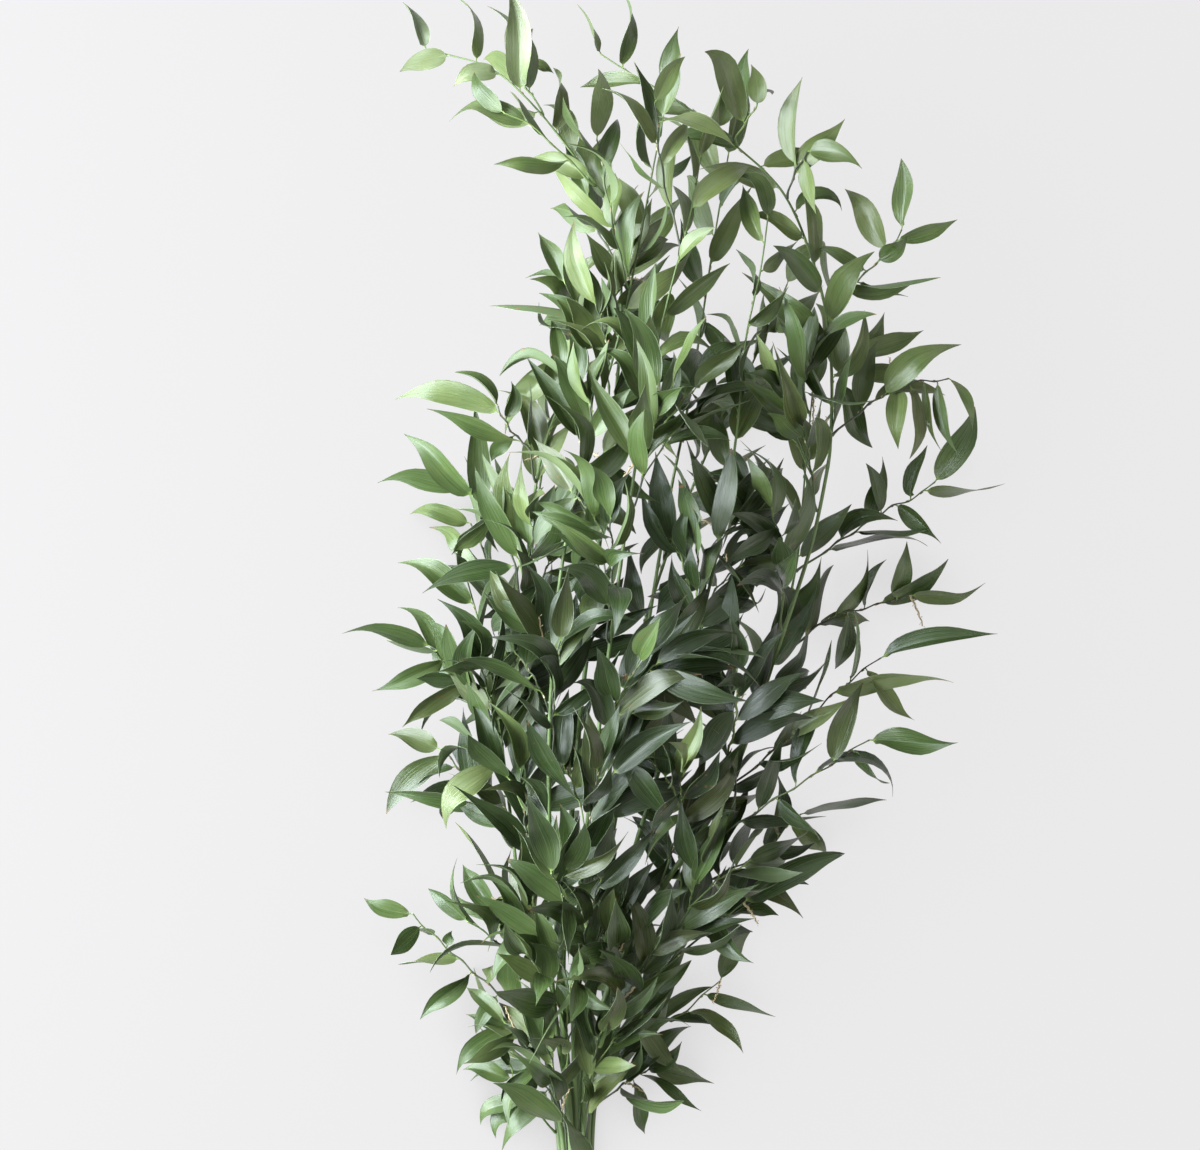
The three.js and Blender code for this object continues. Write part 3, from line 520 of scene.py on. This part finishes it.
flower = {
    "length": 2.8,  # mm
    "vary": (0.6, 1.2),
    "spots": (0, 0.4, 0.7, 0.85, 1),  # shares of its length
    "radii": (0.16, 0.13, 0.3, 0.34, 0.1),  # mm
    "sides": 6,
    "spin": (-0.9, 0.9),  # radians up or down from sideways
    "lean": (0.3, 0.9),  # along the stalk
    "tone": (0.2, 1),
}


# a withered bud on a short stalk of its own
def addFlower(shape, foot, side, forward):
    spin = dice.uniform(*flower["spin"])
    aside = side * math.cos(spin) + np.array([0, 0, math.sin(spin)])
    way = unit(aside + forward * dice.uniform(*flower["lean"]))
    reach = way * flower["length"] * dice.uniform(*flower["vary"]) * mm
    line = foot + reach * np.array(flower["spots"])[:, None]
    wide = np.array(flower["radii"]) * mm
    bud = growRod(shape, line, wide, flower["sides"], onDry, dice.uniform(*flower["tone"]))
    addEnd(shape, bud[-1], unit(reach), onDry, 0.1)


# a dried flower stalk, zigzag and pale, with a flower at each bend
def addFlowerStalk(shape, foot, lean):
    count = dice.integers(*flowerStalk["flowers"])
    length = dice.uniform(*flowerStalk["length"]) * mm
    forward = unit(np.array([*lean, flowerStalk["climb"]]))
    side = unit(np.cross(forward, [0, 0, 1.0]))
    steps = np.arange(count + 2)
    share = steps / (count + 1)
    sway = np.where(steps % 2, 1, -1) * flowerStalk["zigzag"] * (share > 0)
    sideways = (sway + flowerStalk["bend"] * share ** 2)[:, None]
    middles = foot + forward * share[:, None] * length + side * sideways * mm
    middles[:, 2] -= flowerStalk["sag"] * length * share ** 2
    radii = np.linspace(*flowerStalk["taper"], count + 2) * flowerStalk["thickness"] * mm
    line, thick, marks = smoothLine(middles, radii, flowerStalk["step"])
    tone = dice.uniform(*flowerStalk["tone"])
    grid = growRod(shape, line, thick, flowerStalk["sides"], onDry, tone)
    addEnd(shape, grid[0][::-1], -forward, onDry, tone)
    addEnd(shape, grid[-1], unit(line[-1] - line[-2]), onDry, 0.3)
    for number, mark in enumerate(marks[1:]):
        addFlower(shape, line[mark], side if number % 2 else -side, forward)


def meshOf(shape, name, finishes):
    points = np.concatenate(shape["points"])
    mesh = bpy.data.meshes.new(name)
    mesh.from_pydata(points.tolist(), [], np.concatenate(shape["faces"]).tolist())
    layer = mesh.uv_layers.new(name="lie")
    layer.uv.foreach_set("vector", np.concatenate(shape["map"]).astype(np.float32).ravel())
    for key in ("tone", "chance", "under"):
        values = np.concatenate(shape[key]).astype(np.float32)
        mesh.attributes.new(key, "FLOAT", "POINT").data.foreach_set("value", values)
    mesh.polygons.foreach_set("material_index", np.concatenate(shape["finish"]).astype(np.int32))
    mesh.polygons.foreach_set("use_smooth", np.concatenate(shape["smooth"]))
    for finish in finishes:
        mesh.materials.append(finish)
    # joins the grids where their edges meet
    bm = bmesh.new()
    bm.from_mesh(mesh)
    bmesh.ops.remove_doubles(bm, verts=bm.verts, dist=0.002 * mm)
    bm.to_mesh(mesh)
    bm.free()
    piece = bpy.data.objects.new(name, mesh)
    bpy.context.scene.collection.objects.link(piece)
    return piece


# inputs that are sockets are linked, and plain values are set
def addNode(tree, kind, inputs=None, **settings):
    node = tree.nodes.new("ShaderNode" + kind)
    for key, value in settings.items():
        setattr(node, key, value)
    for key, value in (inputs or {}).items():
        if isinstance(value, bpy.types.NodeSocket):
            tree.links.new(value, node.inputs[key])
        else:
            node.inputs[key].default_value = value
    return node


def sums(tree, operation, *values):
    return addNode(tree, "Math", dict(enumerate(values)), operation=operation).outputs[0]


def times(tree, first, second):
    return sums(tree, "MULTIPLY", first, second)


def ramp(tree, value, low, high, start=0.0, end=1.0):
    inputs = {"Value": value, "From Min": low, "From Max": high, "To Min": start, "To Max": end}
    return addNode(tree, "MapRange", inputs, interpolation_type="SMOOTHSTEP").outputs["Result"]


def blendColour(tree, share, first, second):
    colours = [c if isinstance(c, bpy.types.NodeSocket) else (*c, 1) for c in (first, second)]
    inputs = {0: share, 6: colours[0], 7: colours[1]}
    return addNode(tree, "Mix", inputs, data_type="RGBA").outputs[2]


def attribute(tree, name):
    return addNode(tree, "Attribute", attribute_name=name).outputs["Fac"]


def joined(tree, x, y, z):
    return addNode(tree, "CombineXYZ", {0: x, 1: y, 2: z}).outputs[0]


def noise(tree, where, scale, detail=3.0, rough=0.5):
    inputs = {"Vector": where, "Scale": scale, "Detail": detail, "Roughness": rough}
    return addNode(tree, "TexNoise", inputs).outputs["Fac"]


def bump(tree, height, strength, relief):
    inputs = {"Strength": strength, "Distance": relief * mm, "Height": height}
    return addNode(tree, "Bump", inputs).outputs[0]


# across and along a leaf, around and along a rod, or around and inward on an end
def placeOnPiece(tree):
    place = addNode(tree, "UVMap", uv_map="lie").outputs[0]
    parts = addNode(tree, "SeparateXYZ", {0: place}).outputs
    return parts[0], parts[1]


def placeInSpace(tree):
    return addNode(tree, "TexCoord").outputs["Object"]


def newTree(name):
    material = bpy.data.materials.new(name)
    material.use_nodes = True
    material.node_tree.nodes.clear()
    return material, material.node_tree


def addSkin(tree, inputs):
    skin = addNode(tree, "BsdfPrincipled", inputs)
    addNode(tree, "OutputMaterial", {0: skin.outputs[0]})


leafLook = {
    # the darkest green: painted shade on the leaves in the crowded middle, besides old leaves
    "oldAndShaded": (0.011, 0.025, 0.003),
    "deep": (0.018, 0.036, 0.007),
    "middle": (0.049, 0.087, 0.02),
    "fresh": (0.15, 0.195, 0.058),
    # painted light: the washed-out pale green of the brightly lit leaves at the top left
    "pale": (0.25, 0.3, 0.185),
    "olive": (0.12, 0.125, 0.04),
    # painted shade: the grey that darkens the edges and the tip of a leaf
    "edgeShadeColour": (0.032, 0.033, 0.034),  # towards the edges and the tip
    "under": (0.1, 0.14, 0.06),
    "margin": (0.26, 0.34, 0.17),
    "stalk": (0.22, 0.32, 0.08),
    "spot": (0.2, 0.1, 0.035),
    # the tones between which each green takes over
    "oldAndShadedTones": (0.05, -0.4),
    "middleTones": (0.0, 0.6),
    "freshTones": (0.62, 1.15),
    "paleTones": (1.0, 1.5),
    # the most that a colour covers what is under it
    "oliveCover": 0.4,
    "footCover": 0.45,  # of the fresh green towards the foot
    "edgeShadeCover": (0.05, 0.15),  # painted shade on a light-toned leaf and on a dark-toned one
    "streakCover": 0.22,
    "veinCover": 0.1,
    "midribCover": 0.14,
    "underCover": 0.6,
    "marginCover": 0.45,
    "spotCover": 0.8,
    "veins": 15,
    "relief": 0.8,  # mm
    "roughness": (0.22, 0.44),
    "underRoughness": 0.22,  # added on the underside
    "specular": 0.46,
    "coat": 0.28,
    "coatRoughness": 0.28,
    "lightThrough": 0.15,
}


def leafMaterial():
    material, tree = newTree("ruscusLeaf")
    across, along = placeOnPiece(tree)
    where = placeInSpace(tree)
    chance, under = attribute(tree, "chance"), attribute(tree, "under")
    some = sums(tree, "FRACT", times(tree, chance, 7.3))
    others = sums(tree, "FRACT", times(tree, chance, 23.7))
    offCentre = sums(tree, "ABSOLUTE", sums(tree, "MULTIPLY_ADD", across, 2.0, -1.0))
    cloud = sums(tree, "MULTIPLY_ADD", noise(tree, where, 55.0), 0.5, -0.25)
    shade = sums(tree, "ADD", attribute(tree, "tone"), cloud)
    vigour = ramp(tree, shade, -0.1, 0.7, 0.2, 1.0)  # low on dark-toned leaves, old ones and those in painted shade
    # fine streaks and veins along the leaf
    stretched = joined(tree, times(tree, across, 8.0), times(tree, along, 0.6), times(tree, chance, 40.0))
    streaks = noise(tree, stretched, 2.0, 4.0, 0.6)
    veinWave = sums(tree, "SINE", times(tree, across, fullTurn * leafLook["veins"]))
    # paler towards the foot on most leaves, and painted shade that darkens the edges and the tip
    footward = ramp(tree, along, 0.6, 0.0)
    footward = times(tree, footward, ramp(tree, some, 0.1, 1.0, 0.0, leafLook["footCover"]))
    outward = sums(tree, "MAXIMUM", ramp(tree, offCentre, 0.35, 1.0), ramp(tree, along, 0.6, 1.0))
    # painted shade, more on dark-toned leaves
    edgeShade = times(tree, outward, ramp(tree, shade, 0.7, 0.1, *leafLook["edgeShadeCover"]))
    streaked = ramp(tree, streaks, 0.3, 0.75, 0.0, leafLook["streakCover"])
    # a few blemished leaves and browned tips
    spots = ramp(tree, noise(tree, where, 210.0, 2.0), 0.64, 0.7)
    spotted = times(tree, spots, ramp(tree, chance, 0.94, 0.98))
    dryTip = times(tree, ramp(tree, along, 0.93, 0.99), ramp(tree, some, 0.6, 0.8))
    byShade = ramp(tree, shade, *leafLook["middleTones"])
    green = blendColour(tree, byShade, leafLook["deep"], leafLook["middle"])
    layers = (
        (ramp(tree, shade, *leafLook["oldAndShadedTones"]), "oldAndShaded"),
        (ramp(tree, shade, *leafLook["freshTones"]), "fresh"),
        (ramp(tree, others, 0.7, 1.0, 0.0, leafLook["oliveCover"]), "olive"),
        (times(tree, footward, vigour), "fresh"),
        (ramp(tree, shade, *leafLook["paleTones"]), "pale"),
        (edgeShade, "edgeShadeColour"),
        (times(tree, streaked, vigour), "fresh"),
        (times(tree, ramp(tree, veinWave, 0.35, 1.0), leafLook["veinCover"]), "margin"),
        (times(tree, ramp(tree, offCentre, 0.06, 0.0), leafLook["midribCover"]), "margin"),
        (times(tree, under, leafLook["underCover"]), "under"),
        (ramp(tree, offCentre, 0.95, 0.99, 0.0, leafLook["marginCover"]), "margin"),
        (ramp(tree, along, 0.09, 0.03), "stalk"),
        (times(tree, sums(tree, "MAXIMUM", spotted, dryTip), leafLook["spotCover"]), "spot"),
    )
    for cover, colour in layers:
        green = blendColour(tree, cover, green, leafLook[colour])
    rough = ramp(tree, streaks, 0.35, 0.65, *leafLook["roughness"])
    height = sums(tree, "ADD", times(tree, veinWave, 0.06), streaks)
    skin = addNode(tree, "BsdfPrincipled", {
        "Base Color": green,
        "Roughness": sums(tree, "ADD", rough, times(tree, under, leafLook["underRoughness"])),
        "Normal": bump(tree, height, 0.5, leafLook["relief"]),
        "Specular IOR Level": leafLook["specular"],
        "Coat Weight": leafLook["coat"],
        "Coat Roughness": leafLook["coatRoughness"],
    })
    glowColour = blendColour(tree, times(tree, vigour, 0.6), green, leafLook["fresh"])
    glow = addNode(tree, "BsdfTranslucent", {"Color": glowColour})
    shaders = {0: leafLook["lightThrough"], 1: skin.outputs[0], 2: glow.outputs[0]}
    addNode(tree, "OutputMaterial", {0: addNode(tree, "MixShader", shaders).outputs[0]})
    return material


barkLook = {
    # near-black grey: painted shade, the colour of a twig in shadow
    "dark": (0.035, 0.034, 0.034),
    "green": (0.09, 0.145, 0.04),
    "pale": (0.21, 0.3, 0.09),
    "brown": (0.13, 0.1, 0.05),
    "greenTones": (0.1, 0.6),
    "paleTones": (0.6, 1.1),
    "streakCover": 0.35,
    "fleckCover": 0.6,
    "twigStreaks": 3.0,  # how fine they are
    "stemStreaks": 6.0,
    "relief": 0.5,  # mm
    "roughness": (0.38, 0.55),
}


def barkMaterial(name, fineness):
    material, tree = newTree(name)
    around, along = placeOnPiece(tree)
    where = placeInSpace(tree)
    turn = times(tree, around, fullTurn)
    wrapped = joined(tree, sums(tree, "SINE", turn), sums(tree, "COSINE", turn), times(tree, along, 0.35))
    streaks = noise(tree, wrapped, fineness, 4.0, 0.65)
    cloud = sums(tree, "MULTIPLY_ADD", noise(tree, where, 28.0), 0.8, -0.4)
    shade = sums(tree, "ADD", attribute(tree, "tone"), cloud)
    byShade = ramp(tree, shade, *barkLook["greenTones"])
    green = blendColour(tree, byShade, barkLook["dark"], barkLook["green"])
    layers = (
        (ramp(tree, shade, *barkLook["paleTones"]), "pale"),
        (ramp(tree, streaks, 0.35, 0.75, 0.0, barkLook["streakCover"]), "pale"),
        (ramp(tree, noise(tree, where, 260.0, 2.0), 0.66, 0.72, 0.0, barkLook["fleckCover"]), "brown"),
    )
    for cover, colour in layers:
        green = blendColour(tree, cover, green, barkLook[colour])
    addSkin(tree, {
        "Base Color": green,
        "Roughness": ramp(tree, streaks, 0.3, 0.7, *barkLook["roughness"]),
        "Normal": bump(tree, streaks, 0.5, barkLook["relief"]),
    })
    return material


cutLook = {
    "pith": (0.5, 0.47, 0.28),
    "palePith": (0.66, 0.66, 0.45),
    "rim": (0.2, 0.26, 0.09),
    "relief": 0.3,  # mm
    "roughness": 0.8,
}


def cutMaterial():
    material, tree = newTree("cutEnd")
    inward = placeOnPiece(tree)[1]
    grain = noise(tree, placeInSpace(tree), 1500.0)
    pith = blendColour(tree, ramp(tree, grain, 0.35, 0.65), cutLook["pith"], cutLook["palePith"])
    addSkin(tree, {
        "Base Color": blendColour(tree, ramp(tree, inward, 0.35, 0.1), pith, cutLook["rim"]),
        "Roughness": cutLook["roughness"],
        "Normal": bump(tree, grain, 0.6, cutLook["relief"]),
    })
    return material


dryLook = {
    "brown": (0.2, 0.12, 0.055),
    "straw": (0.68, 0.56, 0.34),
    "speck": (0.09, 0.06, 0.03),
    "speckCover": 0.5,
    "relief": 0.2,  # mm
    "roughness": 0.75,
}


# papery bracts and the dried flower stalks
def dryMaterial():
    material, tree = newTree("dryScale")
    grain = noise(tree, placeInSpace(tree), 900.0)
    byTone = ramp(tree, attribute(tree, "tone"), 0.2, 0.8)
    straw = blendColour(tree, byTone, dryLook["brown"], dryLook["straw"])
    specks = ramp(tree, grain, 0.4, 0.7, 0.0, dryLook["speckCover"])
    addSkin(tree, {
        "Base Color": blendColour(tree, specks, straw, dryLook["speck"]),
        "Roughness": dryLook["roughness"],
        "Normal": bump(tree, grain, 0.5, dryLook["relief"]),
    })
    return material


# in the order of onLeaf, onTwig, onStem, onCut and onDry
finishes = [
    leafMaterial(),
    barkMaterial("twigBark", barkLook["twigStreaks"]),
    barkMaterial("stemBark", barkLook["stemStreaks"]),
    cutMaterial(),
    dryMaterial(),
]
print("finishes made")


leafTone = {
    # m along the bunch and the tone there, from 0 for dark to 1 for pale; the tone by place is partly
    # painted shade and light, darker in the middle of the bunch where shade falls and paler towards its lit
    # ends, and partly the age of the leaves
    "along": (-0.25, -0.1, 0.03, 0.12, 0.3),
    "tone": (0.5, 0.1, 0.14, 0.56, 0.72),
    "across": (-0.16, -0.04, 0.05, 0.12, 0.25),  # m, and what is added there
    "change": (0.15, 0.05, 0.04, 0.15, 0.26),
    "topLeft": (0.02, 0.2),  # m, where the painted light that pales the leaves at the top left begins
    "topLeftReach": (-0.14, 0.25),  # m from there to the palest
    "topLeftPaintedLight": 0.22,
    "heart": (-0.02, -0.04),  # m, the crowded middle of the bunch, where painted shade darkens the leaves
    "heartReach": (0.075, 0.13),
    "heartPaintedShade": 0.45,
    "spread": 0.16,
    "shootSpread": 0.08,
    "youngShare": 0.08,  # of the leaves, that have at least this tone
    "young": 0.84,
}


# the leaf tone by place, partly painted light and shade: how the bunch is lit is painted into the leaves'
# greens
def toneOf(place):
    tone = np.interp(place[1], leafTone["along"], leafTone["tone"])
    tone += np.interp(place[0], leafTone["across"], leafTone["change"])
    topLeft = np.clip((place[:2] - leafTone["topLeft"]) / leafTone["topLeftReach"], 0, 1).prod()
    inward = (place[:2] - leafTone["heart"]) / leafTone["heartReach"]
    return tone + leafTone["topLeftPaintedLight"] * topLeft - leafTone["heartPaintedShade"] * math.exp(-inward @ inward)


# the least for a leaf that is near the place and high in the bunch
def farFrom(leaf, place):
    foot = leaf["path"][0]
    return distance(foot[:2], np.array(place) * mm) - 0.5 * foot[2]


def growLeaves(shape, leaves, rods):
    shootTone = dice.normal(0, leafTone["shootSpread"])
    bearers = np.concatenate([smoothLine(middles, radii, 2)[0] for middles, radii in rods])
    for leaf in leaves:
        foot = leaf["path"][0]
        closest = bearers[distance(bearers, foot).argmin()]
        leaf["path"][0] += (closest - foot) * blade["rooting"]
        tone = toneOf(leaf["path"][1])
        if dice.uniform() < leafTone["youngShare"]:
            tone = max(tone, leafTone["young"])
        growLeaf(shape, leaf, tone + shootTone + dice.normal(0, leafTone["spread"]))
        if "flowers" in leaf:
            addFlowerStalk(shape, leaf["path"][0], leaf["flowers"])


shoots = {node: readSolid(node) for node in sorted(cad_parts)}
allLeaves = [leaf for leaves, rods in shoots.values() for leaf in leaves]
print("read", len(allLeaves), "leaves on", sum(len(rods) for leaves, rods in shoots.values()), "rods")

for leaf in allLeaves:
    if dice.uniform() < flowerStalk["share"]:
        turn = dice.uniform(0, fullTurn)
        leaf["flowers"] = math.cos(turn), math.sin(turn)
for place, lean in flowerStalk["places"].items():
    min(allLeaves, key=lambda leaf: farFrom(leaf, place))["flowers"] = lean

for node, (leaves, rods) in shoots.items():
    isStem = node.startswith("stem")
    shape = newShape()
    growLeaves(shape, leaves, rods)
    for number, (middles, radii) in enumerate(rods):
        grow = growStem if isStem and number == 0 else growTwig
        addBracts(shape, leaves, *grow(shape, middles, radii))
    piece = meshOf(shape, "leafy_" + node, finishes)
    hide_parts(node)
    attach(piece, "root")
print("pieces grown")


floorLook = {
    "side": 9,  # m
    "colour": (0.02, 0.02, 0.02),
    "clouds": 0.97,  # share of the colour's lightness in the darker clouds
    "glow": (0.8, 0.79, 0.795),
    "shade": 0.72,  # share of the glow that is left under what touches the floor
    "shadeReach": 0.045,  # m
    "roughness": 0.9,
}


def floorMaterial():
    material, tree = newTree("paleFloor")
    clouds = ramp(tree, noise(tree, placeInSpace(tree), 1.5, 2.0), 0.3, 0.7)
    clouded = tuple(v * floorLook["clouds"] for v in floorLook["colour"])
    openness = addNode(tree, "AmbientOcclusion", {"Distance": floorLook["shadeReach"]}, samples=8)
    addSkin(tree, {
        "Base Color": blendColour(tree, clouds, floorLook["colour"], clouded),
        "Roughness": floorLook["roughness"],
        "Specular IOR Level": 0,
        "Emission Color": (*floorLook["glow"], 1),
        "Emission Strength": ramp(tree, openness.outputs["AO"], 0.0, 1.0, floorLook["shade"], 1.0),
    })
    return material


floorMesh = bpy.data.meshes.new("floor")
half = floorLook["side"] / 2
corners = [(-half, -half, 0), (half, -half, 0), (half, half, 0), (-half, half, 0)]
floorMesh.from_pydata(corners, [], [(0, 1, 2, 3)])
floorMesh.materials.append(floorMaterial())
floor = bpy.data.objects.new("floor", floorMesh)
bpy.context.scene.collection.objects.link(floor)

# place in m, width and height in m, power in W, colour
lamps = {
    "windowLight": ((-0.95, 0.18, 0.6), (1.8, 1.0), 95, (0.85, 0.93, 1.0)),
    "skyLight": ((0.3, 0.9, 2.6), (2.2, 2.2), 9, (1.0, 1.0, 1.0)),
    "fillLight": ((1.25, -0.35, 0.55), (1.5, 1.0), 9, (1.0, 0.98, 0.92)),
}
lampAim = Vector((-0.05, 0.06, 0.05))
for name, (place, (width, height), power, colour) in lamps.items():
    light = bpy.data.lights.new(name, "AREA")
    light.shape = "RECTANGLE"
    light.size = width
    light.size_y = height
    light.energy = power
    light.color = colour
    lamp = bpy.data.objects.new(name, light)
    lamp.location = place
    lamp.visible_camera = False
    lamp.rotation_euler = (lampAim - Vector(place)).to_track_quat("-Z", "Y").to_euler()
    bpy.context.scene.collection.objects.link(lamp)

studio = {
    "colour": (0.95, 0.97, 1.0),
    "strength": 0.26,
}
world = bpy.data.worlds.new("studio")
world.use_nodes = True
background = world.node_tree.nodes["Background"]
background.inputs["Color"].default_value = (*studio["colour"], 1)
background.inputs["Strength"].default_value = studio["strength"]
bpy.context.scene.world = world
bpy.context.scene.view_settings.view_transform = "Standard"

view = {
    "middle": (-53.5, 58.6),  # mm, the place on the bunch that the camera looks down on
    "width": 840,  # mm across the picture, at this height over the floor
    "height": 90,
    "rise": 3600,  # mm from there up to the camera
    "sensor": 36,
}
cameraData = bpy.data.cameras.new("camera")
cameraData.sensor_width = view["sensor"]
cameraData.lens = view["sensor"] * view["rise"] / view["width"]
camera = bpy.data.objects.new("camera", cameraData)
camera.location = Vector((*view["middle"], view["height"] + view["rise"])) * mm
bpy.context.scene.collection.objects.link(camera)
bpy.context.scene.camera = camera
print("stage set")
